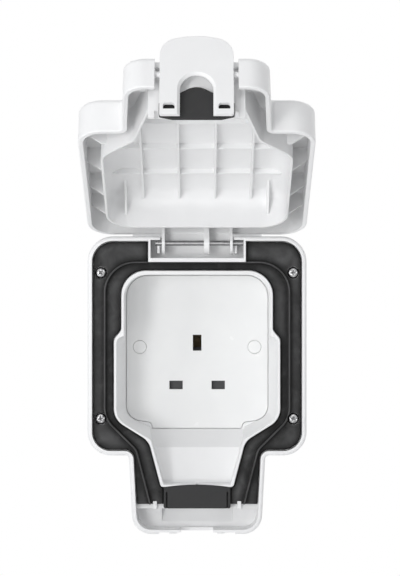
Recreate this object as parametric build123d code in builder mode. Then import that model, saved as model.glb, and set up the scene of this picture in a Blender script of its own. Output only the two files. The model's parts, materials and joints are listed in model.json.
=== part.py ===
from build123d import *
import os

# Outdoor weatherproof single socket, drawn with its lid open.
# X runs right, Z runs up, the front faces -Y and the wall is the plane y = 0.
# "Out" is the distance in millimetres in front of the wall.

# Base outline
BASE_WIDTH = 112.0
BASE_HEIGHT = 112.0
BASE_DEPTH = 62.0
BOX_DEPTH = 38.0
CORNER_R = 13.0
CHIN_TOP_WIDTH = 69.8
CHIN_END_WIDTH = 65.6
CHIN_LENGTH = 40.2
CHIN_R = 10.0
WALL = 3.2
FLOOR = 3.0
RIM = 2.3

# Wall fixings, cable entries and the screws that hold the frame on the box
FIX_PITCH_X = 76.0
FIX_PITCH_Z = 88.0
FIX_HOLE = 5.0
ENTRY_PITCH = 44.0
ENTRY_HOLE = 20.4
ENTRY_OUT = 19.0
SCREW_INSET_X = 6.7
SCREW_INSET_Z = 18.6
POST_DIA = 8.6
SCREW_DIA = 3.4
SCREW_HEAD = 5.8

# Front face: gasket, well, trough and hinge pocket
GASKET_SINK = 0.2
GASKET_T = 4.8
BAND_T = 2.4
TRACK_T = 2.0
LIP_T = 0.8
LIP_GAP = 1.0
EDGE_GAP = 0.5
DECK_T = 2.4
GASKET_END = 25.0
TAB_PITCH = 43.2
COLLAR = 1.4
FLARE = 4.1
WELL_DEPTH = 31.0
WELL_WALL = 1.6
NECK_SHARE = 0.629
TROUGH_RISE = 6.5
POCKET_WIDTH = 49.8
POCKET_END = 13.1
POCKET_DEPTH = 12.2
NOTCH_WIDTH = 37.6

# Socket outlet
PLATE_INSET = 18.8
PLATE_DROP = 6.7
PLATE_T = 3.2
PIN_PITCH = 22.2
EARTH_Z = 0.8
EARTH_SLOT = (4.5, 8.4)
LINE_SLOT = (7.0, 4.5)
CAP_INSET = 7.05
CAP_Z = -1.4
CAP_DIA = 7.0
HOUSING_GAP = 7.65
HOUSING_ROOM = 6.2
SHUTTER_T = 1.6
SHUTTER_TRAVEL = 5.5

# Lid, hinge and latch
OPEN_ANGLE = 114.0
HINGE_DROP = 3.4
HINGE_SINK = 5.7
PIN_DIA = 2.5
LID_GAP = 0.6
LID_WALL = 2.3
LID_COVER = 2.8
LID_HEIGHT = 18.4
LID_EDGE_R = 2.5
LID_OVERHANG = 1.3
SKIRT_T = 1.1
SKIRT_REACH = 3.0
SKIRT_FILLET = 9.0
SKIRT_END = 21.9
TONGUE_REACH = 11.4
TONGUE_T = 1.6
RIB_T = 1.2
LATCH_WIDTH = 33.3
LATCH_T = 2.0
LATCH_BAY = 37.7
PIVOT_DIA = 2.6
ARCH_WIDTH = 15.0

# Places that follow from the sizes above
HALF = BASE_WIDTH / 2
TOP_Z = BASE_HEIGHT / 2
LOW_Z = -TOP_Z
CHIN_Z = -TOP_Z - CHIN_LENGTH
END_Z = CHIN_Z - LID_OVERHANG
DECK = BASE_DEPTH - GASKET_SINK - GASKET_T
FACE = BASE_DEPTH - WELL_DEPTH
PLATE_BACK = FACE - PLATE_T
HOUSING_DEPTH = PLATE_BACK - FLOOR - HOUSING_ROOM
LINE_Z = EARTH_Z - PIN_PITCH
HINGE_Z = TOP_Z - HINGE_DROP
HINGE_OUT = BASE_DEPTH - HINGE_SINK
LID_RIM = BASE_DEPTH + LID_GAP
GASKET_Z = -TOP_Z - GASKET_END
POCKET_Z = TOP_Z - POCKET_END
PLATE_TOP = POCKET_Z - PLATE_DROP
PLATE_X = HALF - PLATE_INSET
NECK_X = PLATE_X * NECK_SHARE
CAP_X = PLATE_X - CAP_INSET
HOUSING_X = CAP_X - HOUSING_GAP
POCKET_FLOOR = BASE_DEPTH - POCKET_DEPTH
SCREWS = [(x * (HALF - SCREW_INSET_X), z * (TOP_Z - SCREW_INSET_Z)) for x in (-1, 1) for z in (-1, 1)]
CAPS = [(-CAP_X, CAP_Z), (CAP_X, CAP_Z)]
LINE_X = PIN_PITCH / 2
HOUSING_LOW = LINE_Z - 16.6
HOUSING_TOP = EARTH_Z + 14.2


def out(distance):
    """The drawing plane this far in front of the wall, with X to the right and Z up."""
    return Plane.XZ.offset(distance)


def outline(corners):
    """A face from (x, z, corner radius) down its right side, mirrored to the left."""
    ring = list(corners) + [(-x, z, r) for x, z, r in reversed(corners)]
    with BuildSketch() as face:
        with BuildLine():
            FilletPolyline(*[(x, z) for x, z, r in ring], radius=[r for x, z, r in ring], close=True)
        make_face()
    return face.sketch


def grown(face, amount):
    """The same outline drawn in or out by an amount."""
    return offset(face, amount=amount, mode=Mode.PRIVATE)


def slab(face, start, end):
    """A flat-ended solid with this outline between two distances from the wall."""
    with BuildPart() as solid:
        with BuildSketch(out(start)):
            add(face)
        extrude(amount=end - start)
    return solid.part


def box(x0, x1, z0, z1, out0, out1):
    """A plain block between two corners."""
    with BuildPart() as solid:
        with Locations(((x0 + x1) / 2, -(out0 + out1) / 2, (z0 + z1) / 2)):
            Box(x1 - x0, out1 - out0, z1 - z0)
    return solid.part


def side_profile(points, x0, x1):
    """A solid with this (out, z) outline seen from the side, between two places along X."""
    with BuildPart() as solid:
        with BuildSketch(Plane.YZ.offset(x0)):
            with BuildLine():
                Polyline(*[(-o, z) for o, z in points], close=True)
            make_face()
        extrude(amount=x1 - x0)
    return solid.part


def rods(places, radius, start, end):
    """Round rods square to the wall at these (x, z) places."""
    with BuildPart() as solid:
        with BuildSketch(out(start)):
            with Locations(*places):
                Circle(radius)
        extrude(amount=end - start)
    return solid.part


def cross_bar(x0, x1, z, distance, radius):
    """A round rod along X."""
    with BuildPart() as solid:
        with BuildSketch(Plane.YZ.offset(x0)):
            with Locations((-distance, z)):
                Circle(radius)
        extrude(amount=x1 - x0)
    return solid.part


def whole_face(end):
    """The outline of base or lid: a square with a narrower chin that runs down to this height."""
    return outline([
        (HALF, TOP_Z, CORNER_R),
        (HALF, -TOP_Z, CORNER_R - 1),
        (CHIN_TOP_WIDTH / 2, -TOP_Z, 2.0),
        (CHIN_END_WIDTH / 2, end, CHIN_R),
    ])


base_face = whole_face(CHIN_Z)
lid_face = whole_face(END_Z)
square_face = outline([(HALF, TOP_Z, CORNER_R), (HALF, -TOP_Z, CORNER_R - 1)])
tongue = END_Z + 7.3
collar_x = PLATE_X + COLLAR
flare_x = PLATE_X + FLARE + COLLAR - 0.3
collar_face = outline([
    (collar_x, PLATE_TOP + COLLAR + 0.7, 12.5),
    (collar_x, 8.0, 3.0),
    (flare_x, 3.5, 4.0),
    (flare_x, LOW_Z + 18.5, 10.0),
    (NECK_X + 1.2, LOW_Z + 7.4, 9.0),
    (18.4, GASKET_Z + 9.0, 1.5),
])
plate_face = outline([
    (PLATE_X, PLATE_TOP, 11.5),
    (PLATE_X, LOW_Z + 16.8, 8.0),
    (NECK_X + 0.6, LOW_Z + 15.0, 2.4),
    (NECK_X, LOW_Z + 11.9, 0.4),
])
skirt_face = outline([
    (flare_x + 3.4, PLATE_TOP + COLLAR + 3.7, 14.0),
    (flare_x + 3.4, LOW_Z + 19.4, 12.0),
    (NECK_X + 6.5, LOW_Z + 3.6, 9.0),
    (24.2, GASKET_Z + 6.5, 4.0),
    (SKIRT_END, GASKET_Z - 3.0, 3.0),
    (SKIRT_END, END_Z + 1.2, 0.0),
])
seal_top = GASKET_Z + 8.8
seal_face = outline([(17.1, seal_top, 0.0), (17.1, GASKET_Z - 2.1, 1.0)])
with BuildSketch() as arched_seal:
    with BuildLine():
        ThreePointArc((-17.1, seal_top), (0, seal_top + 1.3), (17.1, seal_top))
        Line((17.1, seal_top), (-17.1, seal_top))
    make_face()
    add(seal_face)


def trough(grow, front):
    """The cable trough from the well to the lower seal, its floor ramping up over the box's edge."""
    bend = BOX_DEPTH + TROUGH_RISE
    with BuildPart() as solid:
        with BuildSketch(out(FACE - 6)):
            add(grown(outline([(NECK_X + 3.6, LOW_Z + 20, 0.0), (NECK_X, LOW_Z + 7, 4.0),
                               (17.2, GASKET_Z + 10.2, 0.8)]), grow))
        extrude(amount=front - FACE + 6)
        add(side_profile([
            (front, LOW_Z + 26), (FACE - grow, LOW_Z + 26), (FACE - grow, LOW_Z + 11.6 - grow),
            (bend - grow, LOW_Z + 3 - grow), (bend + 5.5 - grow, GASKET_Z + 11.6 - grow),
            (bend + 5.5 - grow, GASKET_Z), (front, GASKET_Z),
        ], -40, 40), mode=Mode.INTERSECT)
    return solid.part


def flare(grow, front):
    """The lower part of the well, widening towards the front so that fingers reach the plug."""
    with BuildPart() as solid:
        for distance, low in ((FACE - grow, LOW_Z + 11.7), (front, LOW_Z + 7.6)):
            wide = PLATE_X - 0.1 + FLARE * (distance - FACE) / WELL_DEPTH + grow
            with BuildSketch(out(distance)):
                add(outline([(wide, 5.0 + grow, 4.0), (wide, LOW_Z + 18.8 - grow, 9.0),
                             (NECK_X - 0.4 + grow, low - grow, 0.0)]))
        loft(ruled=True)
    return solid.part


def well(grow, back, front):
    """The well the plug sits in, with the trough that leads the cable out of it."""
    with BuildPart() as solid:
        add(slab(grown(plate_face, 0.2 + grow), back, front))
        add(flare(grow, front))
        add(trough(grow, front))
    return solid.part


# Back box: hollow, open to the front, with screw posts, wall fixing holes and top entries
with BuildPart() as back_box:
    add(slab(square_face, 0, BOX_DEPTH))
    add(slab(grown(square_face, -WALL), FLOOR, BOX_DEPTH), mode=Mode.SUBTRACT)
    add(rods(SCREWS, POST_DIA / 2, FLOOR - 1, BOX_DEPTH))
    add(rods(SCREWS, SCREW_DIA / 2 + 0.05, 12, BOX_DEPTH), mode=Mode.SUBTRACT)
    add(rods([(x * FIX_PITCH_X / 2, z * FIX_PITCH_Z / 2) for x in (-1, 1) for z in (-1, 1)],
             FIX_HOLE / 2, 0, FLOOR), mode=Mode.SUBTRACT)
    with BuildSketch(out(BOX_DEPTH - 1.2)):
        add(grown(square_face, -0.8))
        add(grown(square_face, -2.4), mode=Mode.SUBTRACT)
    extrude(amount=1.2, mode=Mode.SUBTRACT)
    with BuildSketch(Plane.XY.offset(TOP_Z - WALL - 1)):
        with Locations((-ENTRY_PITCH / 2, -ENTRY_OUT), (ENTRY_PITCH / 2, -ENTRY_OUT)):
            Circle(ENTRY_HOLE / 2)
    extrude(amount=WALL + 2, mode=Mode.SUBTRACT)

with BuildPart() as box_seal:
    with BuildSketch(out(BOX_DEPTH - 1.15)):
        add(grown(square_face, -0.9))
        add(grown(square_face, -2.3), mode=Mode.SUBTRACT)
    extrude(amount=1.1)

with BuildPart() as entry_plugs:
    with BuildSketch(Plane.XY.offset(TOP_Z - WALL - 3)):
        with Locations((-ENTRY_PITCH / 2, -ENTRY_OUT), (ENTRY_PITCH / 2, -ENTRY_OUT)):
            Circle(ENTRY_HOLE / 2 - 0.08)
    extrude(amount=WALL + 3)
    with BuildSketch(Plane.XY.offset(TOP_Z)):
        with Locations((-ENTRY_PITCH / 2, -ENTRY_OUT), (ENTRY_PITCH / 2, -ENTRY_OUT)):
            Circle(ENTRY_HOLE / 2 + 2.2)
    extrude(amount=2.6)
    chamfer(entry_plugs.edges().group_by(Axis.Z)[-1], 0.7)
    with BuildSketch(Plane.XY.offset(TOP_Z + 1.4)):
        with Locations((-ENTRY_PITCH / 2, -ENTRY_OUT), (ENTRY_PITCH / 2, -ENTRY_OUT)):
            Rectangle(14, 2.2)
    extrude(amount=2, mode=Mode.SUBTRACT)

# Front frame: rim and deck first, then the well, the hinge pocket and the chin
pocket = POCKET_WIDTH / 2
notch = NOTCH_WIDTH / 2
chin_floor = BASE_DEPTH - 13.4
tray_floor = BASE_DEPTH - 17.4
latch_seat = END_Z + LATCH_T + 0.3
chin_wall = latch_seat + 1.6
with BuildPart() as front_frame:
    add(slab(base_face, BOX_DEPTH, BASE_DEPTH))
    fillet(front_frame.faces().sort_by(Axis.Y)[0].edges(), 1.5)
    add(slab(grown(square_face, -WALL), BOX_DEPTH, DECK - DECK_T), mode=Mode.SUBTRACT)
    add(box(-30, 30, GASKET_Z + 2.5, -TOP_Z + WALL + 1, BOX_DEPTH + 2.4, DECK - DECK_T), mode=Mode.SUBTRACT)
    add(side_profile([(BOX_DEPTH, GASKET_Z), (BOX_DEPTH + 6.5, CHIN_Z), (BOX_DEPTH, CHIN_Z)], -40, 40),
        mode=Mode.SUBTRACT)
    add(slab(grown(base_face, -RIM), DECK, BASE_DEPTH), mode=Mode.SUBTRACT)
    add(rods(SCREWS, POST_DIA / 2, BOX_DEPTH, DECK))
    add(well(WELL_WALL, PLATE_BACK - 2.4, DECK))
    add(slab(collar_face, DECK - 1, BASE_DEPTH))
    add(rods(SCREWS, SCREW_DIA / 2 + 0.2, BOX_DEPTH, DECK), mode=Mode.SUBTRACT)
    add(rods(CAPS, 6.5, PLATE_BACK - 13, PLATE_BACK - 1))
    add(well(0, PLATE_BACK, BASE_DEPTH), mode=Mode.SUBTRACT)
    add(box(-HOUSING_X - 1, HOUSING_X + 1, HOUSING_LOW - 2, HOUSING_TOP + 2, PLATE_BACK - 4, PLATE_BACK),
        mode=Mode.SUBTRACT)
    add(rods(CAPS, 5.2, PLATE_BACK - 2.4, PLATE_BACK), mode=Mode.SUBTRACT)
    add(rods(CAPS, SCREW_DIA / 2 + 0.05, PLATE_BACK - 13, PLATE_BACK), mode=Mode.SUBTRACT)
    # hinge pocket with a notch through the top rim and two saddles for the pin
    add(box(-pocket, pocket, POCKET_Z, TOP_Z - 1, POCKET_FLOOR - 1.6, BASE_DEPTH))
    add(box(1.1 - pocket, pocket - 1.1, POCKET_Z + 2, TOP_Z - 1.8, POCKET_FLOOR, BASE_DEPTH),
        mode=Mode.SUBTRACT)
    add(box(-notch, notch, POCKET_Z + 2, TOP_Z + 1, POCKET_FLOOR, BASE_DEPTH + 1), mode=Mode.SUBTRACT)
    for x in (-20.4, 19.2):
        add(side_profile([
            (POCKET_FLOOR, TOP_Z - RIM + 0.5), (POCKET_FLOOR, HINGE_Z - 5.2),
            (HINGE_OUT + 1.6, HINGE_Z - 5.2), (HINGE_OUT + 1.6, HINGE_Z - 1.3),
            (HINGE_OUT - 1.3, HINGE_Z - 1.3), (HINGE_OUT - 1.3, TOP_Z - RIM + 0.5),
        ], x, x + 1.2))
    # chin: scooped tray, deeper in the middle, with a latch seat and two hooks under it
    with BuildSketch(out(chin_floor)):
        add(grown(base_face, -RIM))
        with Locations((0, 0)):
            Rectangle(BASE_WIDTH, -2 * GASKET_Z + 5, mode=Mode.SUBTRACT)
        with Locations((0, CHIN_Z)):
            Rectangle(LATCH_BAY + 4.4, 2 * (chin_wall - CHIN_Z), mode=Mode.SUBTRACT)
    extrude(amount=BASE_DEPTH - chin_floor, mode=Mode.SUBTRACT)
    add(box(-LATCH_BAY / 2 - 0.6, LATCH_BAY / 2 + 0.6, END_Z - 1, latch_seat, BOX_DEPTH, BASE_DEPTH + 1),
        mode=Mode.SUBTRACT)
    add(side_profile([
        (tray_floor, GASKET_Z - 2.5), (chin_floor, chin_wall + 2.4), (chin_floor, chin_wall),
        (BASE_DEPTH, chin_wall), (BASE_DEPTH, GASKET_Z - 2.5),
    ], -18.2, 18.2), mode=Mode.SUBTRACT)
    add(box(-8.2, 8.2, END_Z, END_Z + 6, BASE_DEPTH - 9, BASE_DEPTH), mode=Mode.SUBTRACT)
    for x in (-14.4, 10.4):
        add(side_profile([
            (BASE_DEPTH - 9.7, END_Z + 2.4), (BASE_DEPTH - 9.7, END_Z + 0.6),
            (BASE_DEPTH - 9.1, END_Z + 0.6), (BASE_DEPTH - 7.8, END_Z + 2.4),
        ], x, x + 4.0))
    add(slab(grown(arched_seal.sketch, 0.1), DECK, BASE_DEPTH), mode=Mode.SUBTRACT)
    for x in (-TAB_PITCH / 2, TAB_PITCH / 2):
        add(box(x - 1, x + 1, GASKET_Z - 2.5, GASKET_Z + 1.4, DECK - 1, DECK + TRACK_T))

# Dark rubber sheet in the front recess: a flat outer band, and a thin standing lip
# round the lower track that the lid's skirt lands on
with BuildPart() as face_gasket:
    with BuildSketch(out(DECK)):
        add(grown(base_face, -RIM - EDGE_GAP))
        add(grown(collar_face, EDGE_GAP), mode=Mode.SUBTRACT)
        with Locations((0, GASKET_Z - 20)):
            Rectangle(BASE_WIDTH, 40, mode=Mode.SUBTRACT)
        with Locations((0, POCKET_Z + 20 - 0.1)):
            Rectangle(POCKET_WIDTH + 2 * EDGE_GAP, 40, mode=Mode.SUBTRACT)
        with Locations(*SCREWS):
            Circle(SCREW_HEAD / 2 + 0.3, mode=Mode.SUBTRACT)
        with Locations((-TAB_PITCH / 2, GASKET_Z), (TAB_PITCH / 2, GASKET_Z)):
            Rectangle(2.2, 3.0, mode=Mode.SUBTRACT)
        add(grown(arched_seal.sketch, 0.1), mode=Mode.SUBTRACT)
    extrude(amount=GASKET_T)
    with BuildSketch(out(DECK + BAND_T)):
        add(grown(base_face, -RIM))
        add(grown(skirt_face, LIP_GAP + LIP_T), mode=Mode.SUBTRACT)
    extrude(amount=GASKET_T, mode=Mode.SUBTRACT)
    with BuildSketch(out(DECK + TRACK_T)):
        add(grown(skirt_face, LIP_GAP))
    extrude(amount=GASKET_T, mode=Mode.SUBTRACT)

with BuildPart() as cable_seal_lower:
    add(slab(arched_seal.sketch, DECK + 0.02, BASE_DEPTH - 0.6))
    fillet(cable_seal_lower.faces().sort_by(Axis.Y)[0].edges(), 0.5)
    for x in (-15.9, 15.1):
        add(box(x, x + 0.8, GASKET_Z - 2.1, GASKET_Z + 6.4, BASE_DEPTH - 2.4, BASE_DEPTH),
            mode=Mode.SUBTRACT)

with BuildPart() as frame_screws:
    add(rods(SCREWS, SCREW_DIA / 2, 14, DECK + 0.5))
    add(rods(SCREWS, SCREW_HEAD / 2, DECK + 0.05, DECK + 2.3))
    fillet(frame_screws.edges().group_by(Axis.Y)[0], 0.7)
    with BuildSketch(out(DECK + 0.9)):
        with Locations(*SCREWS):
            Rectangle(3.4, 0.8)
            Rectangle(0.8, 3.4)
    extrude(amount=2, mode=Mode.SUBTRACT)

with BuildPart() as hinge_pin:
    add(cross_bar(-21.4, 23.7, HINGE_Z, HINGE_OUT, PIN_DIA / 2))

# Socket outlet: face plate, screws and caps, rear housing, contacts and shutter
with BuildPart() as socket_plate:
    add(slab(plate_face, PLATE_BACK, FACE))
    fillet(socket_plate.faces().sort_by(Axis.Y)[0].edges(), 0.3)
    add(rods(CAPS, 5.0, PLATE_BACK - 2.2, PLATE_BACK))
    add(rods(CAPS, CAP_DIA / 2 + 0.1, PLATE_BACK - 0.4, FACE), mode=Mode.SUBTRACT)
    add(rods(CAPS, SCREW_DIA / 2 + 0.2, PLATE_BACK - 2.2, FACE), mode=Mode.SUBTRACT)
    with BuildSketch(out(PLATE_BACK)):
        with Locations((0, EARTH_Z)):
            Rectangle(*EARTH_SLOT)
        with Locations((-LINE_X, LINE_Z), (LINE_X, LINE_Z)):
            Rectangle(*LINE_SLOT)
    extrude(amount=PLATE_T, mode=Mode.SUBTRACT)

with BuildPart() as screw_caps:
    add(rods(CAPS, CAP_DIA / 2, FACE - 1.2, FACE + 0.1))
    fillet(screw_caps.edges().group_by(Axis.Y)[0], 0.4)

with BuildPart() as plate_screws:
    add(rods(CAPS, SCREW_DIA / 2, PLATE_BACK - 12, PLATE_BACK))
    add(rods(CAPS, 3.1, PLATE_BACK - 0.4, PLATE_BACK + 1.6))

housing_front = PLATE_BACK - 0.1
housing_back = housing_front - HOUSING_DEPTH
shutter_back = housing_front - SHUTTER_T - 0.5
with BuildPart() as contact_housing:
    add(box(-HOUSING_X, HOUSING_X, HOUSING_LOW, HOUSING_TOP, housing_back, housing_front))
    fillet(contact_housing.edges().filter_by(Axis.Y), 3)
    add(box(-16.2, 16.2, LINE_Z - 3.8 - SHUTTER_TRAVEL, EARTH_Z + 5, shutter_back, housing_front),
        mode=Mode.SUBTRACT)
    add(box(-2.1, 2.1, LINE_Z - 14.5, LINE_Z - 3, housing_front - 4.2, housing_front), mode=Mode.SUBTRACT)
    add(box(-5.5, 5.5, EARTH_Z - 5, EARTH_Z + 7, housing_back + 2, housing_front), mode=Mode.SUBTRACT)
    for x in (-LINE_X, LINE_X):
        add(box(x - 5, x + 5, LINE_Z - 5.5, LINE_Z + 4.5, housing_back + 2, housing_front),
            mode=Mode.SUBTRACT)
    with BuildSketch(out(housing_back)):
        with Locations((0, EARTH_Z + 1), (-LINE_X, LINE_Z), (LINE_X, LINE_Z)):
            Circle(2.3)
    extrude(amount=2, mode=Mode.SUBTRACT)

clip_back = housing_back + 2.2
clip_front = shutter_back - 1.2
with BuildPart() as earth_contact:
    add(box(-4.9, 4.9, EARTH_Z - 4.4, EARTH_Z + 6.4, clip_back, clip_back + 1))
    add(box(-3.1, -2.3, EARTH_Z - 4.2, EARTH_Z + 4.2, clip_back, clip_front))
    add(box(2.3, 3.1, EARTH_Z - 4.2, EARTH_Z + 4.2, clip_back, clip_front))
    add(rods([(0, EARTH_Z + 1)], 1.55, clip_back, clip_back + 1), mode=Mode.SUBTRACT)

line_contacts = []
for x in (-LINE_X, LINE_X):
    with BuildPart() as clip:
        add(box(x - 4.6, x + 4.6, LINE_Z - 4, LINE_Z + 4, clip_back, clip_back + 1))
        add(box(x - 3.4, x + 3.4, LINE_Z + 2.3, LINE_Z + 3.1, clip_back, clip_front))
        add(box(x - 3.4, x + 3.4, LINE_Z - 3.1, LINE_Z - 2.3, clip_back, clip_front))
        add(rods([(x, LINE_Z)], 1.55, clip_back, clip_back + 1), mode=Mode.SUBTRACT)
    line_contacts.append(clip.part)

with BuildPart() as terminal_screws:
    places = [(0, EARTH_Z + 1), (-LINE_X, LINE_Z), (LINE_X, LINE_Z)]
    add(rods(places, 1.5, housing_back - 3, clip_back + 3))
    add(rods(places, 2.8, housing_back - 3.4, housing_back - 1.2))
    with BuildSketch(out(housing_back - 3.4)):
        with Locations(*places):
            Rectangle(6, 0.8)
    extrude(amount=0.9, mode=Mode.SUBTRACT)

# Shutter: a bar behind the two line slots and a stem with the ramp the earth pin pushes down
shutter_front = housing_front - 0.3
with BuildPart() as shutter:
    add(box(-15.6, 15.6, LINE_Z - 3.5, LINE_Z + 3.2, shutter_front - SHUTTER_T, shutter_front))
    add(side_profile([
        (shutter_front, LINE_Z + 3), (shutter_front, EARTH_Z - 4.0),
        (shutter_front - SHUTTER_T, EARTH_Z - 2.4), (shutter_front - SHUTTER_T, LINE_Z + 3),
    ], -3.6, 3.6))

spring_top = LINE_Z - 3.6
spring_length = 10.6
with BuildPart() as shutter_spring:
    with BuildLine(Plane((0, -(housing_front - 2.1), spring_top - spring_length))) as coil:
        Helix(pitch=spring_length / 6.5, height=spring_length - 0.5, radius=1.35)
    with BuildSketch(Plane(coil.line @ 0, z_dir=coil.line % 0)):
        Circle(0.22)
    sweep(path=coil.line)


# Lid, drawn closed and then swung open about the hinge
def under_cover(drop):
    """Everything behind the lid's curved cover, lowered by drop."""
    with BuildPart() as solid:
        with BuildSketch(Plane.YZ):
            with BuildLine():
                top = [(-LID_RIM - LID_HEIGHT + 1.2 + drop, TOP_Z), (-LID_RIM - LID_HEIGHT + drop, 0),
                       (-LID_RIM - LID_HEIGHT + 2.9 + drop, END_Z)]
                ThreePointArc(*top)
                Polyline(top[2], (-BASE_DEPTH + 30, END_Z), (-BASE_DEPTH + 30, TOP_Z), top[0])
            make_face()
        extrude(amount=BASE_WIDTH, both=True)
    return solid.part


def swung(part):
    """A lid piece turned from closed to open."""
    return part.rotate(Axis((0, -HINGE_OUT, HINGE_Z), (1, 0, 0)), -OPEN_ANGLE)


with BuildPart() as lid_space:
    add(slab(grown(skirt_face, -SKIRT_T), LID_RIM - SKIRT_REACH - 1, LID_RIM + 30))
    add(under_cover(LID_COVER), mode=Mode.INTERSECT)
    fillet(lid_space.faces().sort_by(Axis.Y)[0].edges(), SKIRT_FILLET)

with BuildPart() as lid_gutter:
    add(slab(grown(lid_face, -LID_WALL), LID_RIM - 1, LID_RIM + 30))
    add(under_cover(LID_COVER), mode=Mode.INTERSECT)

with BuildPart() as lid_skirt:
    add(slab(skirt_face, LID_RIM - SKIRT_REACH, LID_RIM + 30))
    add(under_cover(LID_COVER - 1), mode=Mode.INTERSECT)
    add(box(-HALF, HALF, END_Z, tongue, LID_RIM - SKIRT_REACH, LID_RIM + 30), mode=Mode.SUBTRACT)

bay = LATCH_BAY / 2
with BuildPart() as lid:
    add(slab(lid_face, LID_RIM, LID_RIM + 30))
    add(under_cover(0), mode=Mode.INTERSECT)
    fillet(lid.faces().sort_by(Axis.Y)[0].edges(), LID_EDGE_R)
    fillet(lid.faces().sort_by(Axis.Y)[-1].edges(), 0.7)
    add(lid_gutter.part, mode=Mode.SUBTRACT)
    add(lid_skirt.part)
    # gussets between skirt and outer wall, their edges falling away outwards
    rib_top = LID_RIM + LID_HEIGHT - LID_COVER + 0.7
    for z in (LOW_Z + 17, -10.0, 17.0, PLATE_TOP + 1.8):
        with BuildSketch(Plane.XY.offset(z - RIB_T / 2)):
            for side in (-1, 1):
                with BuildLine():
                    Polyline((side * (flare_x - 6), -LID_RIM - 2.4),
                             (side * (flare_x + 2.6), -LID_RIM - 2.4),
                             (side * (HALF - 1.5), -LID_RIM - 9),
                             (side * (HALF - 1.5), -rib_top),
                             (side * (flare_x - 6), -rib_top), close=True)
                make_face()
        extrude(amount=RIB_T)
    for x in (-33, 20.5):
        add(box(x, x + 12.5, GASKET_Z + 0.4, GASKET_Z + 0.4 + RIB_T, LID_RIM + 8, LID_RIM + 14))
    add(lid_space.part, mode=Mode.SUBTRACT)
    # ribs inside the cover
    rib_foot = rib_top - 4.6
    for x in (-27.3, -9.1, 9.1, 27.3):
        add(box(x - RIB_T / 2, x + RIB_T / 2, LOW_Z + 16, PLATE_TOP + 1.2, rib_foot, rib_top))
    for z in (LOW_Z + 16.3, -14.5, 12.0):
        add(box(0.4 - flare_x, flare_x - 0.4, z - RIB_T / 2, z + RIB_T / 2, rib_foot + 1, rib_top))
    for x in (5.7 - flare_x, flare_x - 7):
        add(side_profile([(LID_RIM + 3, PLATE_TOP + 4.3), (rib_top, 22), (rib_top, PLATE_TOP + 4.3)],
                         x, x + RIB_T))
    # hinge ears on the pin, with a web between them
    for x0, x1 in ((-18.0, -16.5), (3.5, 6.3), (16.9, 18.2)):
        add(cross_bar(x0, x1, HINGE_Z, HINGE_OUT, 5.8))
        add(box(x0, x1, HINGE_Z - 5.8, TOP_Z - 0.5, HINGE_OUT, LID_RIM + 8))
    add(box(-18.0, 18.2, TOP_Z - 1.8, TOP_Z, HINGE_OUT + 2.2, LID_RIM + 2))
    add(box(-30, 30, TOP_Z, TOP_Z + 5, HINGE_OUT - 10, LID_RIM + 3), mode=Mode.SUBTRACT)
    add(cross_bar(-30, 30, HINGE_Z, HINGE_OUT, PIN_DIA / 2 + 0.05), mode=Mode.SUBTRACT)
    # latch bay in the end wall, and a tongue across the skirt's end that carries the seal
    add(box(-bay, bay, END_Z - 1, END_Z + 5.3, LID_RIM - 4, LID_RIM + 20), mode=Mode.SUBTRACT)
    add(box(-SKIRT_END, SKIRT_END, tongue, tongue + TONGUE_T,
            LID_RIM - TONGUE_REACH, LID_RIM + LID_HEIGHT - 4.2))
    for x in (-19.0, 17.3):
        add(box(x, x + 1.7, tongue - 1, tongue + TONGUE_T, LID_RIM - 12, LID_RIM - 8), mode=Mode.SUBTRACT)
    add(cross_bar(-25, 25, END_Z + 3.0, LID_RIM + 8, PIVOT_DIA / 2 + 0.05), mode=Mode.SUBTRACT)

with BuildPart() as cable_seal_upper:
    with BuildSketch(Plane.XY.offset(tongue - 1.8)):
        with BuildLine():
            FilletPolyline((-11, 12.8 - LID_RIM), (11, 12.8 - LID_RIM), (17, 11.4 - LID_RIM),
                           (17, 5 - LID_RIM), (0, -4.2 - LID_RIM), (-17, 5 - LID_RIM),
                           (-17, 11.4 - LID_RIM),
                           radius=[0.5, 0.5, 1, 1, 8, 1, 1], close=True)
        make_face()
    extrude(amount=1.75)

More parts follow.
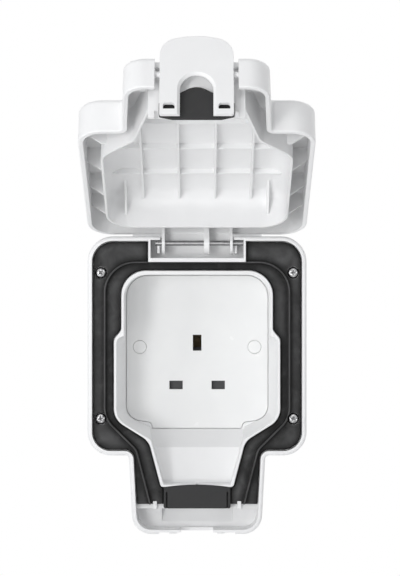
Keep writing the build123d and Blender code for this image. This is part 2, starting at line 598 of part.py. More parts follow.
latch_tip = -LID_RIM - 26.4
latch_toe = -LID_RIM + 13.7
window = -LID_RIM + 9.4
with BuildPart() as latch:
    with BuildSketch(Plane.XY.offset(END_Z)):
        with BuildLine():
            FilletPolyline((-LATCH_WIDTH / 2, latch_toe), (-LATCH_WIDTH / 2, latch_tip + 2.4),
                           (0, latch_tip - 0.6), (LATCH_WIDTH / 2, latch_tip + 2.4),
                           (LATCH_WIDTH / 2, latch_toe),
                           radius=[1, 9, 40, 9, 1], close=True)
        make_face()
        with Locations((0, -LID_RIM + 0.8)):
            Circle(ARCH_WIDTH / 2, mode=Mode.SUBTRACT)
        with Locations((0, (latch_toe - LID_RIM + 0.8) / 2 + 0.5)):
            Rectangle(ARCH_WIDTH, latch_toe + LID_RIM - 0.8 + 1, mode=Mode.SUBTRACT)
        for x in (-12.4, 12.4):
            with BuildLine():
                FilletPolyline((x - 2.6, window + 1.5), (x - 2.6, window - 1.5), (x + 2.6, window - 1.5),
                               (x + 2.6, window + 1.5), radius=[0.2, 1.3, 1.3, 0.2], close=True)
            make_face(mode=Mode.SUBTRACT)
    extrude(amount=LATCH_T)
    curved = latch.edges().filter_by(GeomType.CIRCLE)
    arch = curved.filter_by(lambda edge: abs(edge.radius - ARCH_WIDTH / 2) < 0.01)
    chamfer(arch.sort_by(Axis.Z)[0], 1.2)
    for x0, x1 in ((-LATCH_WIDTH / 2, -9.5), (9.5, LATCH_WIDTH / 2)):
        add(cross_bar(x0, x1, END_Z + 3.0, LID_RIM + 8, 2.4))
    add(box(-LATCH_WIDTH / 2, LATCH_WIDTH / 2, END_Z - 3, END_Z, LID_RIM - 20, LID_RIM + 30),
        mode=Mode.SUBTRACT)
    add(cross_bar(-21.0, -16, END_Z + 3.0, LID_RIM + 8, PIVOT_DIA / 2))
    add(cross_bar(16, 21.0, END_Z + 3.0, LID_RIM + 8, PIVOT_DIA / 2))

nodes = {
    "back_box": back_box.part,
    "box_seal": box_seal.part,
    "entry_plugs": entry_plugs.part,
    "front_frame": front_frame.part,
    "face_gasket": face_gasket.part,
    "cable_seal_lower": cable_seal_lower.part,
    "frame_screws": frame_screws.part,
    "hinge_pin": hinge_pin.part,
    "socket_plate": socket_plate.part,
    "screw_caps": screw_caps.part,
    "plate_screws": plate_screws.part,
    "contact_housing": contact_housing.part,
    "earth_contact": earth_contact.part,
    "live_contact": line_contacts[1],
    "neutral_contact": line_contacts[0],
    "terminal_screws": terminal_screws.part,
    "shutter": shutter.part,
    "shutter_spring": shutter_spring.part,
    "lid": swung(lid.part),
    "cable_seal_upper": swung(cable_seal_upper.part),
    "latch": swung(latch.part),
}
os.makedirs("parts", exist_ok=True)
for name, part in nodes.items():
    part.label = name
    export_step(part, f"parts/{name}.step")
    print(name, len(part.solids()), "solid", round(part.volume / 1000, 2), "cm3")
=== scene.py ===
# %% [markdown]
# # Dressing an outdoor weatherproof socket
#
# The shapes of this socket come from CAD and are already at their real size. What is left for Blender is
# everything that makes them look like the real thing: moulded plastic, rubber, metal, light and a camera.
# The lesson starts by loading the CAD nodes as a fixed frame, so that nothing has to be fitted by eye.

# %% Load the frame
import json
import math

import bmesh
import bpy
from mathutils import Matrix, Vector


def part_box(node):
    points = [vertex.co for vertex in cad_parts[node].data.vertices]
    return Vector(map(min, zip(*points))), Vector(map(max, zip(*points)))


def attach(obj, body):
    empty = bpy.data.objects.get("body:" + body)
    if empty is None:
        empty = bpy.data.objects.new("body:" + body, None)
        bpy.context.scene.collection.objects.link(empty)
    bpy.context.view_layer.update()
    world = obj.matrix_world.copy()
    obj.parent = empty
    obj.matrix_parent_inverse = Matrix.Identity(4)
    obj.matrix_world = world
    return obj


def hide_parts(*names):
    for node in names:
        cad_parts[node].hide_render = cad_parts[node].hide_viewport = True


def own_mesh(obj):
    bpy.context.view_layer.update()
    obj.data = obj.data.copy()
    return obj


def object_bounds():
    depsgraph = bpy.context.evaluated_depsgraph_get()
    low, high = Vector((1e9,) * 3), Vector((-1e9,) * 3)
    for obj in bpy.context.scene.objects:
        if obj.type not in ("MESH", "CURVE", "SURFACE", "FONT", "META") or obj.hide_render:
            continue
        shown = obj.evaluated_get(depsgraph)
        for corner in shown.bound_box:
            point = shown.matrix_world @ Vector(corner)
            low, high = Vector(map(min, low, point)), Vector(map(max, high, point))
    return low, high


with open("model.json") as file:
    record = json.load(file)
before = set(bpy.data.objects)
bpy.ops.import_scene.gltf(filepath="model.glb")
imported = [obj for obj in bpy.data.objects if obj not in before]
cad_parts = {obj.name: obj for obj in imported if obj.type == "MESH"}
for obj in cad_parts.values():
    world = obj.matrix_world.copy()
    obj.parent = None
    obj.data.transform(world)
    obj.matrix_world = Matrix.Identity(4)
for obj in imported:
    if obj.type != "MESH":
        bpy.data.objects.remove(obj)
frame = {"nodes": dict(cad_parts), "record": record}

MM = 0.001
cad_box = [list(corner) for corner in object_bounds()]
print("CAD box in mm:", [[round(value / MM, 1) for value in corner] for corner in cad_box])

# %% [markdown]
# ## Small tools for node trees
#
# Every finish below is a tree of shader nodes. Making a node takes three steps: create it, set its options,
# and set the values on its input sockets. A short helper does all three, which keeps the finishes readable.

# %% Node helpers
def place(tree, kind, values=(), **options):
    """Add a node to a tree, with its options and the values of its input sockets."""
    node = tree.nodes.new(kind)
    for name, value in options.items():
        setattr(node, name, value)
    for name, value in dict(values).items():
        node.inputs[name].default_value = value
    return node


def wire(tree, start, end):
    """Join an output socket to an input socket."""
    tree.links.new(start, end)


def new_group(name, inputs, outputs):
    """Start a shader node group from lists of (name, socket type, default) and (name, socket type)."""
    group = bpy.data.node_groups.new(name, "ShaderNodeTree")
    for label, kind, default in inputs:
        socket = group.interface.new_socket(label, in_out="INPUT", socket_type=kind)
        socket.default_value = default
    for label, kind in outputs:
        group.interface.new_socket(label, in_out="OUTPUT", socket_type=kind)
    return group, group.nodes.new("NodeGroupInput"), group.nodes.new("NodeGroupOutput")


def use_group(tree, group, values):
    """Place a finished group in a material, with its own values."""
    return place(tree, "ShaderNodeGroup", values, node_tree=group)


print("node helpers ready")

# %% [markdown]
# ## The skin of a moulding
#
# The steel mould of such a product is spark eroded, and the plastic copies its fine pitted skin. Real grain
# could be modelled, but the pits are about a fifth of a millimetre across, so a bump is the right tool. The
# group works in millimetres of the object's own space, so a finish has the same grain on every piece, and
# the lid keeps its grain when it swings. It also gives a broad mottle, the slow change of gloss that all
# mouldings have where the melt cooled faster or slower.

# %% Group: moulded skin
def moulded_skin_group():
    """Fine grain and a broad mottle, both as values that change over the surface."""
    group, given, result = new_group(
        "moulded_skin",
        [("Grain per mm", "NodeSocketFloat", 5.0), ("Mottle per mm", "NodeSocketFloat", 0.08)],
        [("Grain", "NodeSocketFloat"), ("Mottle", "NodeSocketFloat")],
    )
    place_on_piece = place(group, "ShaderNodeTexCoord")
    in_mm = place(group, "ShaderNodeVectorMath", {"Scale": 1 / MM}, operation="SCALE")
    pits = place(group, "ShaderNodeTexNoise", {"Detail": 3.0, "Roughness": 0.65})
    flow = place(group, "ShaderNodeTexNoise", {"Detail": 4.0, "Roughness": 0.55, "Distortion": 0.6})
    wire(group, place_on_piece.outputs["Object"], in_mm.inputs[0])
    for noise, size, output in ((pits, "Grain per mm", "Grain"), (flow, "Mottle per mm", "Mottle")):
        wire(group, in_mm.outputs[0], noise.inputs["Vector"])
        wire(group, given.outputs[size], noise.inputs["Scale"])
        wire(group, noise.outputs["Fac"], result.inputs[output])
    return group


moulded_skin = moulded_skin_group()
print("group:", moulded_skin.name, "with", len(moulded_skin.nodes), "nodes")

# %% [markdown]
# ## Edges that catch the light
#
# No moulded edge is perfectly sharp: even a crisp one is rounded by a few tenths of a millimetre and shows
# as a thin bright line. The CAD has the large radii. For the small ones the Bevel node bends the normal near
# each edge, which costs no faces. Where the bent normal leaves the true one there is an edge, and that
# difference becomes a mask for a painted highlight, a slightly paler colour along each edge.

# %% Group: soft edge
def soft_edge_group():
    """A normal that is rounded near edges, and a mask of those edges."""
    group, given, result = new_group(
        "soft_edge",
        [("Radius", "NodeSocketFloat", 0.3 * MM)],
        [("Normal", "NodeSocketVector"), ("Edge", "NodeSocketFloat")],
    )
    bevel = place(group, "ShaderNodeBevel", samples=6)
    true_normal = place(group, "ShaderNodeNewGeometry")
    alike = place(group, "ShaderNodeVectorMath", operation="DOT_PRODUCT")
    edge_highlight = place(group, "ShaderNodeMapRange",
                 {"From Min": 1.0, "From Max": 0.8, "To Min": 0.0, "To Max": 1.0})
    wire(group, given.outputs["Radius"], bevel.inputs["Radius"])
    wire(group, bevel.outputs["Normal"], alike.inputs[0])
    wire(group, true_normal.outputs["Normal"], alike.inputs[1])
    wire(group, alike.outputs["Value"], edge_highlight.inputs["Value"])
    wire(group, bevel.outputs["Normal"], result.inputs["Normal"])
    wire(group, edge_highlight.outputs["Result"], result.inputs["Edge"])
    return group


soft_edge = soft_edge_group()
print("group:", soft_edge.name, "with", len(soft_edge.nodes), "nodes")

# %% [markdown]
# ## Dust and painted shade in the corners
#
# An outdoor fitting gathers a trace of grey dust where no cloth reaches: along ribs, round screws and in the
# hinge pocket. This mask carries that dust, and on some finishes painted shade as well. On the white plastic
# its grey is part dust and part painted shade in corners and gaps. On the black rubber it is a nearly black
# painted shade in the creases. On the grey rubber and the dark plastic it is a paler dust. The Ambient
# Occlusion node says how open each place is from the geometry alone, so the mask stays where it is in every
# view. Two inputs say how closed a place must be for it to start and to be full, and a noise breaks its
# outline. The product is new, so the white finishes use very little.

# %% Group: corner dust
def corner_dust_and_shade_group():
    """A mask of corners and creases, broken up by a noise."""
    group, given, result = new_group(
        "corner_dust_and_shade",
        [("Reach", "NodeSocketFloat", 3 * MM), ("Start", "NodeSocketFloat", 0.75),
         ("Full", "NodeSocketFloat", 0.15), ("Amount", "NodeSocketFloat", 0.2)],
        [("Dust and shade", "NodeSocketFloat")],
    )
    openness = place(group, "ShaderNodeAmbientOcclusion", samples=6)
    place_on_piece = place(group, "ShaderNodeTexCoord")
    patches = place(group, "ShaderNodeTexNoise", {"Scale": 260.0, "Detail": 5.0, "Roughness": 0.6})
    depth = place(group, "ShaderNodeMapRange")
    broken = place(group, "ShaderNodeMath", operation="MULTIPLY")
    amount = place(group, "ShaderNodeMath", operation="MULTIPLY", use_clamp=True)
    wire(group, given.outputs["Reach"], openness.inputs["Distance"])
    wire(group, place_on_piece.outputs["Object"], patches.inputs["Vector"])
    wire(group, openness.outputs["AO"], depth.inputs["Value"])
    wire(group, given.outputs["Start"], depth.inputs["From Min"])
    wire(group, given.outputs["Full"], depth.inputs["From Max"])
    wire(group, depth.outputs["Result"], broken.inputs[0])
    wire(group, patches.outputs["Fac"], broken.inputs[1])
    wire(group, broken.outputs["Value"], amount.inputs[0])
    wire(group, given.outputs["Amount"], amount.inputs[1])
    wire(group, amount.outputs["Value"], result.inputs["Dust and shade"])
    return group


corner_dust_and_shade = corner_dust_and_shade_group()
print("group:", corner_dust_and_shade.name, "with", len(corner_dust_and_shade.nodes), "nodes")

# %% [markdown]
# ## One recipe for plastic and rubber
#
# White plastic, socket plastic and rubber are all moulded, so they share a recipe and differ in values. The
# colour drifts between two shades, and edges get a painted highlight. Corners get dust and painted shade on
# the white plastic, a painted shade on the black rubber, and a paler dust on the grey rubber and the dark
# plastic. Roughness follows the mottle, and the grain drives a bump that starts from the rounded normal of
# the soft edges.

# %% Recipe helpers
COLOUR_A = 6
COLOUR_B = 7
COLOUR_RESULT = 2
NOISE_LOW = 0.25
NOISE_HIGH = 0.75


def mixed(tree, factor, first, second):
    """A colour between two colours. Each may be a socket or a plain colour.

    The Mix node repeats its socket names for each kind of data, so the ones for colour go by number.
    """
    mix = place(tree, "ShaderNodeMix", data_type="RGBA")
    wire(tree, factor, mix.inputs["Factor"])
    for colour, socket in ((first, mix.inputs[COLOUR_A]), (second, mix.inputs[COLOUR_B])):
        if isinstance(colour, tuple):
            socket.default_value = (*colour, 1.0)
        else:
            wire(tree, colour, socket)
    return mix.outputs[COLOUR_RESULT]


def ranged(tree, noise, low, high):
    """A noise, most of which lies between a quarter and three quarters, moved to run from low to high."""
    span = place(tree, "ShaderNodeMapRange",
                 {"From Min": NOISE_LOW, "From Max": NOISE_HIGH, "To Min": low, "To Max": high})
    wire(tree, noise, span.inputs["Value"])
    return span.outputs["Result"]


print("recipe helpers ready")

# %% Recipe: moulded finish
EDGE_HIGHLIGHT_SHARE = 0.5
PIT_DEPTH = 0.05 * MM


def moulded_finish(name, shades, edge_highlight, dust_and_shade, roughness, grain, bump, radius, dust_and_shade_amount, shine=0.5,
                   dust_and_shade_reach=3.0, dust_and_shade_range=(0.75, 0.15)):
    """A moulded material: two shades, the colours of a painted edge highlight and of corner dust and painted
    shade, a roughness range, grain, edges and shine.

    The edges' radius and the reach of the corner dust and painted shade are in millimetres. Its range says
    how open a place is where it starts and where it is full.
    """
    material = bpy.data.materials.new(name)
    material.use_nodes = True
    tree = material.node_tree
    shader = tree.nodes["Principled BSDF"]
    shader.inputs["Specular IOR Level"].default_value = shine
    skin = use_group(tree, moulded_skin, {"Grain per mm": grain})
    rounded = use_group(tree, soft_edge, {"Radius": radius * MM})
    start, full = dust_and_shade_range
    corners = use_group(tree, corner_dust_and_shade,
                        {"Reach": dust_and_shade_reach * MM, "Start": start, "Full": full, "Amount": dust_and_shade_amount})
    colour = mixed(tree, ranged(tree, skin.outputs["Mottle"], 0, 1), *shades)
    # Painted highlight: the colour goes paler along edges.
    painted_highlight = place(tree, "ShaderNodeMath", {1: EDGE_HIGHLIGHT_SHARE}, operation="MULTIPLY")
    wire(tree, rounded.outputs["Edge"], painted_highlight.inputs[0])
    colour = mixed(tree, painted_highlight.outputs["Value"], colour, edge_highlight)
    # Dust and painted shade: corners go grey on the white plastic and nearly black on the black rubber as
    # painted shade, and paler on the darker finishes as dust.
    colour = mixed(tree, corners.outputs["Dust and shade"], colour, dust_and_shade)
    wire(tree, colour, shader.inputs["Base Color"])
    wire(tree, ranged(tree, skin.outputs["Mottle"], *roughness), shader.inputs["Roughness"])
    relief = place(tree, "ShaderNodeBump", {"Strength": bump, "Distance": PIT_DEPTH})
    wire(tree, skin.outputs["Grain"], relief.inputs["Height"])
    wire(tree, rounded.outputs["Normal"], relief.inputs["Normal"])
    wire(tree, relief.outputs["Normal"], shader.inputs["Normal"])
    return material


print("recipe ready")

# %% [markdown]
# ## White plastic
#
# Box, entry plugs, frame, lid and latch are a cool white plastic with a fine satin skin. The white stays
# just under the brightest a real pigment reaches, so that shaded walls still have room to show their form.

# %% Finish: white plastic
# The edge colour is a painted highlight, and the grey corner colour is part dust and part painted shade in
# corners and gaps.
satin_white = moulded_finish(
    "satin_white",
    shades=((0.858, 0.86, 0.864), (0.882, 0.884, 0.886)),
    edge_highlight=(0.91, 0.91, 0.91),
    dust_and_shade=(0.42, 0.41, 0.40),
    roughness=(0.36, 0.46),
    grain=5.0,
    bump=0.22,
    radius=0.35,
    dust_and_shade_amount=0.1,
)
print("finish:", satin_white.name)

# %% [markdown]
# ## Socket plastic
#
# The face that takes the plug and the caps on its two screws are a harder resin from a polished mould. They
# are glossier than the housing and have hardly any grain, so the shared recipe gets a lower roughness and a
# weak bump.

# %% Finish: socket plastic
# The edge colour is a painted highlight, and the grey corner colour is part dust and part painted shade in
# corners and gaps.
polished_white = moulded_finish(
    "polished_white",
    shades=((0.86, 0.865, 0.865), (0.88, 0.885, 0.88)),
    edge_highlight=(0.91, 0.91, 0.91),
    dust_and_shade=(0.45, 0.44, 0.43),
    roughness=(0.20, 0.28),
    grain=7.0,
    bump=0.06,
    radius=0.25,
    dust_and_shade_amount=0.08,
)
print("finish:", polished_white.name)

# %% [markdown]
# ## Black and grey rubber
#
# The face gasket is a soft black rubber. Its satin skin has cloudy grey patches, a painted highlight along
# each lip and painted shade in its creases. So the recipe's corner colour is nearly black here, darker than
# the rubber, and starts on either side of the low lip. Its edges are rounded by a little over a millimetre.
# The box seal and the two cable seals are a firmer, dark grey rubber that picks up a little pale dust, with
# a painted highlight on its edges.

# %% Finish: rubber
# The edge colour is a painted highlight along each lip, and the nearly black corner colour is painted shade
# in the creases and beside the lip.
black_rubber = moulded_finish(
    "black_rubber",
    shades=((0.024, 0.024, 0.024), (0.088, 0.088, 0.089)),
    edge_highlight=(0.14, 0.14, 0.141),
    dust_and_shade=(0.001, 0.001, 0.001),
    roughness=(0.26, 0.44),
    grain=3.2,
    bump=0.35,
    radius=1.2,
    dust_and_shade_amount=2.6,
    shine=0.18,
    dust_and_shade_reach=4.0,
    dust_and_shade_range=(0.95, 0.6),
)
# The edge colour is a painted highlight; the paler corner colour is dust.
grey_rubber = moulded_finish(
    "grey_rubber",
    shades=((0.030, 0.030, 0.031), (0.040, 0.040, 0.040)),
    edge_highlight=(0.065, 0.065, 0.065),
    dust_and_shade=(0.08, 0.08, 0.077),
    roughness=(0.55, 0.68),
    grain=3.0,
    bump=0.4,
    radius=0.4,
    dust_and_shade_amount=0.4,
    shine=0.25,
)
print("finishes:", black_rubber.name, grey_rubber.name)

# %% [markdown]
# ## Dark inner plastic
#
# Behind the slots sit the shutter, a dark grey slide, and the housing that carries it. They are seen only
# through the slots, so they need no more than the shared recipe.

# %% Finish: inner plastic
# The edge colour is a painted highlight; the paler corner colour is dust.
dark_plastic = moulded_finish(
    "dark_plastic",
    shades=((0.035, 0.035, 0.037), (0.046, 0.046, 0.048)),
    edge_highlight=(0.07, 0.07, 0.07),
    dust_and_shade=(0.09, 0.09, 0.085),
    roughness=(0.42, 0.52),
    grain=5.0,
    bump=0.2,
    radius=0.2,
    dust_and_shade_amount=0.3,
)
print("finish:", dark_plastic.name)

# %% [markdown]
# ## Drawn and rolled metal
#
# The hinge pin was drawn through a die and the brass clips were rolled, which leaves fine lines along the
# piece. A noise that is squeezed in one direction gives such lines. The hinge pin runs sideways, so the
# steel's lines follow X. A second, even noise is the faint haze of handling: it moves the colour between two
# near shades and the roughness with it.

# %% Group: drawn lines
def drawn_lines_group():
    """Fine lines along one direction, and a haze."""
    group, given, result = new_group(
        "drawn_lines",
        [("Squeeze", "NodeSocketVector", (60.0, 9000.0, 9000.0))],
        [("Lines", "NodeSocketFloat"), ("Haze", "NodeSocketFloat")],
    )
    place_on_piece = place(group, "ShaderNodeTexCoord")
    squeezed = place(group, "ShaderNodeVectorMath", operation="MULTIPLY")
    lines = place(group, "ShaderNodeTexNoise", {"Scale": 1.0, "Detail": 4.0, "Roughness": 0.6})
    haze = place(group, "ShaderNodeTexNoise", {"Scale": 420.0, "Detail": 5.0, "Roughness": 0.62})
    wire(group, place_on_piece.outputs["Object"], squeezed.inputs[0])
    wire(group, given.outputs["Squeeze"], squeezed.inputs[1])
    wire(group, squeezed.outputs["Vector"], lines.inputs["Vector"])
    wire(group, place_on_piece.outputs["Object"], haze.inputs["Vector"])
    wire(group, lines.outputs["Fac"], result.inputs["Lines"])
    wire(group, haze.outputs["Fac"], result.inputs["Haze"])
    return group


drawn_lines = drawn_lines_group()
print("group:", drawn_lines.name, "with", len(drawn_lines.nodes), "nodes")

# %% Recipe: metal finish
METAL_EDGE = 0.2 * MM
LINE_DEPTH = 0.02 * MM


def metal_finish(name, shades, roughness, squeeze, bump):
    """A metal with drawn or rolled lines: two shades, a roughness range and the squeeze of its lines."""
    material = bpy.data.materials.new(name)
    material.use_nodes = True
    tree = material.node_tree
    shader = tree.nodes["Principled BSDF"]
    shader.inputs["Metallic"].default_value = 1.0
    drawn = use_group(tree, drawn_lines, {"Squeeze": squeeze})
    rounded = use_group(tree, soft_edge, {"Radius": METAL_EDGE})
    colour = mixed(tree, ranged(tree, drawn.outputs["Haze"], 0, 1), *shades)
    wire(tree, colour, shader.inputs["Base Color"])
    wire(tree, ranged(tree, drawn.outputs["Haze"], *roughness), shader.inputs["Roughness"])
    relief = place(tree, "ShaderNodeBump", {"Strength": bump, "Distance": LINE_DEPTH})
    wire(tree, drawn.outputs["Lines"], relief.inputs["Height"])
    wire(tree, rounded.outputs["Normal"], relief.inputs["Normal"])
    wire(tree, relief.outputs["Normal"], shader.inputs["Normal"])
    return material


drawn_steel = metal_finish(
    "drawn_steel",
    shades=((0.34, 0.34, 0.35), (0.46, 0.46, 0.46)),
    roughness=(0.24, 0.38),
    squeeze=(60.0, 9000.0, 9000.0),
    bump=0.25,
)
# The brass shades are darker than bright brass: partly tarnish, partly painted shade for the deep slots it
# is seen through.
rolled_brass = metal_finish(
    "rolled_brass",
    shades=((0.15, 0.12, 0.075), (0.22, 0.175, 0.11)),
    roughness=(0.46, 0.62),
    squeeze=(4000.0, 70.0, 4000.0),
    bump=0.2,
)
print("finishes:", drawn_steel.name, rolled_brass.name)

# %% [markdown]
# ## Hand out the finishes
#
# The record that came with the frame says which finish each CAD node has, so one loop can dress them all.
# Each node keeps its mesh and gets the material that stands for that finish.

# %% Dress the CAD nodes
finishes = {
    "white_plastic": satin_white,
    "white_gloss": polished_white,
    "face_rubber": black_rubber,
    "seal_rubber": grey_rubber,
    "grey_plastic": dark_plastic,
    "steel": drawn_steel,
    "brass": rolled_brass,
}
for row in frame["record"]["subparts"]:
    mesh = frame["nodes"][row["node"]].data
    mesh.materials.clear()
    mesh.materials.append(finishes[row["material_slot"]])

# %% [markdown]
# ## Frame screws
#
# Four pan-head screws with a cross recess hold the frame on the box. The CAD has plain heads with two
# straight slots. A real recess tapers towards a point and its wings narrow as they go down, so the screws
# are made again: half an outline is spun round, and a tapered cross is cut out of the dome with a boolean.
# Each screw stops at an angle of its own, as screws do that were driven by hand.

# %% Mesh helpers
def mesh_object(name, form):
    """Turn a bmesh into an object in the scene."""
    mesh = bpy.data.meshes.new(name)
    form.to_mesh(mesh)
    form.free()
    piece = bpy.data.objects.new(name, mesh)
    bpy.context.scene.collection.objects.link(piece)
    return piece


def finished_mesh(piece):
    """A new mesh of an object, with its modifiers or its curve's wire worked out."""
    bpy.context.view_layer.update()
    return bpy.data.meshes.new_from_object(piece.evaluated_get(bpy.context.evaluated_depsgraph_get()))


print("mesh helpers ready")

# %% Screw helpers
def spun(profile, steps):
    """A solid of revolution about Z from (radius, height) points, in millimetres."""
    form = bmesh.new()
    points = [form.verts.new((radius * MM, 0, height * MM)) for radius, height in profile]
    edges = [form.edges.new(pair) for pair in zip(points, points[1:])]
    bmesh.ops.spin(form, geom=points + edges, cent=(0, 0, 0), axis=(0, 0, 1), angle=math.tau, steps=steps)
    bmesh.ops.remove_doubles(form, verts=form.verts, dist=0.001 * MM)
    bmesh.ops.recalc_face_normals(form, faces=form.faces)
    return form


def cross_punch(reach, wing, depth, above, taper):
    """A cross that tapers down Z. Reach and wing are half sizes at its top, in millimetres."""
    form = bmesh.new()
    ring = [(reach, wing), (wing, wing), (wing, reach)]
    top = []
    for turn in range(4):
        quarter = Matrix.Rotation(turn * math.tau / 4, 3, "Z")
        top += [form.verts.new(quarter @ Vector((x * MM, y * MM, above * MM))) for x, y in ring]
    low = [form.verts.new((vert.co.x * taper, vert.co.y * taper, -depth * MM)) for vert in top]
    form.faces.new(top)
    form.faces.new(list(reversed(low)))
    for i in range(len(top)):
        form.faces.new((top[i - 1], low[i - 1], low[i], top[i]))
    bmesh.ops.recalc_face_normals(form, faces=form.faces)
    return form


print("screw helpers ready")

# %% Make the four screws
HEAD_R = 2.9
HEAD_H = 2.2
SHANK_R = 1.7
SHANK_END = -40
CROSS = {"reach": 1.9, "wing": 0.42, "depth": 1.7, "above": 0.34, "taper": 0.3}
SCREW_TURNS = (12, 38, -20, 5)

dome = [(0, HEAD_H), (1.2, HEAD_H - 0.06), (2.1, HEAD_H - 0.3), (2.65, HEAD_H - 0.75),
        (HEAD_R, HEAD_H - 1.3)]
under = [(HEAD_R, 0.1), (HEAD_R - 0.1, 0), (SHANK_R, 0), (SHANK_R, SHANK_END), (0, SHANK_END - 0.6)]
low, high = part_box("frame_screws")
inset = HEAD_R * MM
centres = [(x, z) for x in (low.x + inset, high.x - inset) for z in (low.z + inset, high.z - inset)]
for number, ((x, z), turn) in enumerate(zip(centres, SCREW_TURNS), start=1):
    screw = mesh_object(f"frame_screw_{number}", spun(dome + under, steps=40))
    punch = mesh_object("screw_punch", cross_punch(**CROSS))
    punch.location.z = HEAD_H * MM
    cut = screw.modifiers.new("recess", "BOOLEAN")
    cut.object = punch
    cut.solver = "EXACT"
    finished = finished_mesh(screw)
    screw.modifiers.clear()
    screw.data = finished
    bpy.data.objects.remove(punch)
    facing = Matrix.Rotation(math.radians(90), 4, "X") @ Matrix.Rotation(math.radians(turn), 4, "Z")
    screw.data.transform(Matrix.Translation((x, low.y + HEAD_H * MM, z)) @ facing)
    screw.data.materials.append(drawn_steel)
    screw.data.shade_smooth()
    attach(screw, "base")
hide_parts("frame_screws")

# %% [markdown]
# ## Shutter spring
#
# A small coil holds the shutter up over the two lower slots, and a plug's earth pin presses the shutter down
# on it. A coil that keeps its length would cut through the slide. The coil is made again here: a round wire
# along a helix that lies closed in its first and last turn, as a real spring does.

# %% Spring helpers
CLOSED_RISE = 0.46 * MM
OPEN_TURNS = 5


def coil_height(turn, rise):
    """How far up the wire is after so many turns, where the first and the last turn lie closed."""
    closed = min(turn, 1) + max(turn - 1 - OPEN_TURNS, 0)
    open_turns = min(max(turn - 1, 0), OPEN_TURNS)
    return closed * CLOSED_RISE + open_turns * (rise - 2 * CLOSED_RISE) / OPEN_TURNS


def bent_wire(name, points, radius):
    """A round wire along a line of points, as a mesh object."""
    line = bpy.data.curves.new(f"{name}_line", "CURVE")
    line.dimensions = "3D"
    line.bevel_depth = radius
    line.bevel_resolution = 2
    line.use_fill_caps = True
    spline = line.splines.new("POLY")
    spline.points.add(len(points) - 1)
    for spline_point, point in zip(spline.points, points):
        spline_point.co = (*point, 1)
    curve = bpy.data.objects.new(f"{name}_line", line)
    bpy.context.scene.collection.objects.link(curve)
    piece = bpy.data.objects.new(name, finished_mesh(curve))
    bpy.data.objects.remove(curve)
    bpy.context.scene.collection.objects.link(piece)
    return piece


print("spring helpers ready")

# %% Make the spring
WIRE_R = 0.22 * MM
STEPS_A_TURN = 24

low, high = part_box("shutter_spring")
length = high.z - low.z
foot = Vector(((low.x + high.x) / 2, (low.y + high.y) / 2, low.z))
coil_r = (high.x - low.x) / 2 - WIRE_R
turns = [step / STEPS_A_TURN for step in range((OPEN_TURNS + 2) * STEPS_A_TURN + 1)]
coil = []
for turn in turns:
    around = Vector((math.cos(turn * math.tau), math.sin(turn * math.tau), 0)) * coil_r
    coil.append(foot + around + Vector((0, 0, WIRE_R + coil_height(turn, length - 2 * WIRE_R))))
spring = bent_wire("shutter_coil", coil, WIRE_R)
spring.data.materials.clear()
spring.data.materials.append(drawn_steel)
spring.data.shade_smooth()
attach(spring, "base")
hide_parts("shutter_spring")
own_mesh(spring)
print("spring of", len(coil), "points,", round(length / MM, 1), "mm long")

# %% [markdown]
# ## Sky and floor
#
# The photograph has a clean white ground. A sky that is pure white to the camera, and to mirror-like rays,
# gives the same ground from every side, while the light it really throws is set apart and stays soft. That
# light is far stronger on the left than on the right, because the walls that face right, in the well and in
# the lid's hollow, are the darker ones in the photograph. The fitting hangs on a wall, so the pale floor
# lies a hand below it, short enough to stay out of the front view.

# %% Sky
BRIGHT_SIDE = (-1.0, 0.0, 0.0)
DIM_LEVEL = 0.20
BRIGHT_LEVEL = 0.56


def seen_as_white(tree, lit_output, white_output, shader_input):
    """Show white to camera, glossy and transmission rays, and the lit shader to all others."""
    path = place(tree, "ShaderNodeLightPath")
    first = place(tree, "ShaderNodeMath", operation="MAXIMUM")
    either = place(tree, "ShaderNodeMath", operation="MAXIMUM")
    choose = place(tree, "ShaderNodeMixShader")
    wire(tree, path.outputs["Is Camera Ray"], first.inputs[0])
    wire(tree, path.outputs["Is Glossy Ray"], first.inputs[1])
    wire(tree, first.outputs["Value"], either.inputs[0])
    wire(tree, path.outputs["Is Transmission Ray"], either.inputs[1])
    wire(tree, either.outputs["Value"], choose.inputs[0])
    wire(tree, lit_output, choose.inputs[1])
    wire(tree, white_output, choose.inputs[2])
    wire(tree, choose.outputs["Shader"], shader_input)


world = bpy.data.worlds.new("studio")
bpy.context.scene.world = world
world.use_nodes = True
sky = world.node_tree
soft_sky = sky.nodes["Background"]
soft_sky.inputs["Color"].default_value = (0.97, 0.98, 1.0, 1.0)
white_sky = place(sky, "ShaderNodeBackground", {"Color": (1, 1, 1, 1), "Strength": 1.0})
sky_direction = place(sky, "ShaderNodeTexCoord")
towards_bright = place(sky, "ShaderNodeVectorMath", {1: BRIGHT_SIDE}, operation="DOT_PRODUCT")
sky_level = place(sky, "ShaderNodeMapRange",
                  {"From Min": -1.0, "From Max": 1.0, "To Min": DIM_LEVEL, "To Max": BRIGHT_LEVEL})
wire(sky, sky_direction.outputs["Generated"], towards_bright.inputs[0])
wire(sky, towards_bright.outputs["Value"], sky_level.inputs["Value"])
wire(sky, sky_level.outputs["Result"], soft_sky.inputs["Strength"])
seen_as_white(sky, soft_sky.outputs[0], white_sky.outputs[0], sky.nodes["World Output"].inputs["Surface"])
print("sky light from", DIM_LEVEL, "on the right to", BRIGHT_LEVEL, "on the left")

# %% Floor
FLOOR_DROP = 90 * MM
FLOOR_SIZE = 1.0
FLOOR_Y = -0.1

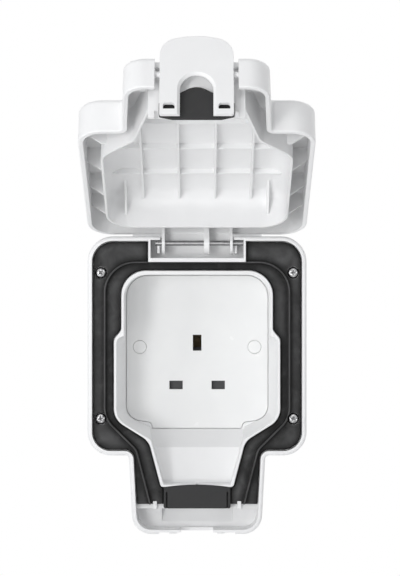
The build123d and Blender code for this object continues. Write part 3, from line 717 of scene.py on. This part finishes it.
form = bmesh.new()
bmesh.ops.create_grid(form, x_segments=4, y_segments=4, size=FLOOR_SIZE / 2)
floor = mesh_object("floor", form)
floor.location = (0, FLOOR_Y, cad_box[0][2] - FLOOR_DROP)
floor_paint = bpy.data.materials.new("floor_paint")
floor_paint.use_nodes = True
paint = floor_paint.node_tree.nodes["Principled BSDF"]
paint.inputs["Base Color"].default_value = (0.86, 0.86, 0.86, 1)
paint.inputs["Roughness"].default_value = 0.7
floor.data.materials.append(floor_paint)
print("floor at", round(floor.location.z / MM), "mm")

# %% [markdown]
# ## Light
#
# The photograph is lit softly from the left: the well's left wall throws a shade on the plate, and walls
# that face left are bright. One tall lamp well to the left of the camera does that. The open lid faces down,
# so a low lamp lights its inside, and one from above lights the ramp of the trough. Two tall strips at the
# sides draw thin highlights along the edges of the rubber. A lamp behind keeps the back and the top from
# going grey; it throws no highlights, because they would turn the box's flat top white in views from the
# front.

# %% Lamps
AIM = Vector((0, -0.06, 0.02))


def lamp(name, at, width, height, watts):
    """A soft rectangular lamp that looks at the socket, in metres and watts."""
    light = bpy.data.lights.new(name, "AREA")
    light.shape = "RECTANGLE"
    light.size = width
    light.size_y = height
    light.energy = watts
    piece = bpy.data.objects.new(name, light)
    piece.location = at
    piece.rotation_euler = (AIM - Vector(at)).to_track_quat("-Z", "Y").to_euler()
    bpy.context.scene.collection.objects.link(piece)
    return piece


front_lamps = [
    lamp("key_left", at=(-0.95, -2.1, 0.0), width=0.5, height=0.8, watts=12.5),
    lamp("low_left", at=(-0.6, -1.8, -0.55), width=0.9, height=0.5, watts=7.5),
    lamp("front_top", at=(0.0, -1.6, 1.1), width=1.0, height=0.5, watts=4.0),
    lamp("strip_left", at=(-1.3, -1.0, 0.0), width=0.3, height=1.2, watts=3.4),
    lamp("strip_right", at=(1.3, -1.0, 0.0), width=0.3, height=1.2, watts=1.6),
]
back_lamp = lamp("behind", at=(0.9, 0.9, 1.1), width=1.0, height=1.0, watts=20.0)
back_lamp.visible_glossy = False
print("lamps:", [piece.name for piece in (*front_lamps, back_lamp)])

# %% [markdown]
# ## Camera
#
# The socket was photographed straight from the front, from about a metre. The lens follows from the size of
# the face in the frame: the photograph is 576 pixels high and the socket's front shows 1.958 pixels for each
# millimetre at that distance.

# %% Camera
VIEW_HEIGHT = 576
FOCAL_PIXELS = 2020.7
SENSOR = 36.0
CAMERA_AT = (1.5 * MM, -1.094, 29.6 * MM)

camera_data = bpy.data.cameras.new("camera")
camera_data.sensor_width = SENSOR
camera_data.lens = FOCAL_PIXELS / VIEW_HEIGHT * SENSOR
camera = bpy.data.objects.new("camera", camera_data)
camera.location = CAMERA_AT
camera.rotation_euler = (math.radians(90), 0, 0)
bpy.context.scene.collection.objects.link(camera)
bpy.context.scene.camera = camera
bpy.context.scene.view_settings.view_transform = "Standard"
print("lens", round(camera_data.lens, 1), "mm")

# %% [markdown]
# ## The end
#
# The CAD box was printed in millimetres when the frame was loaded.

# %% End
print("scene dressed")
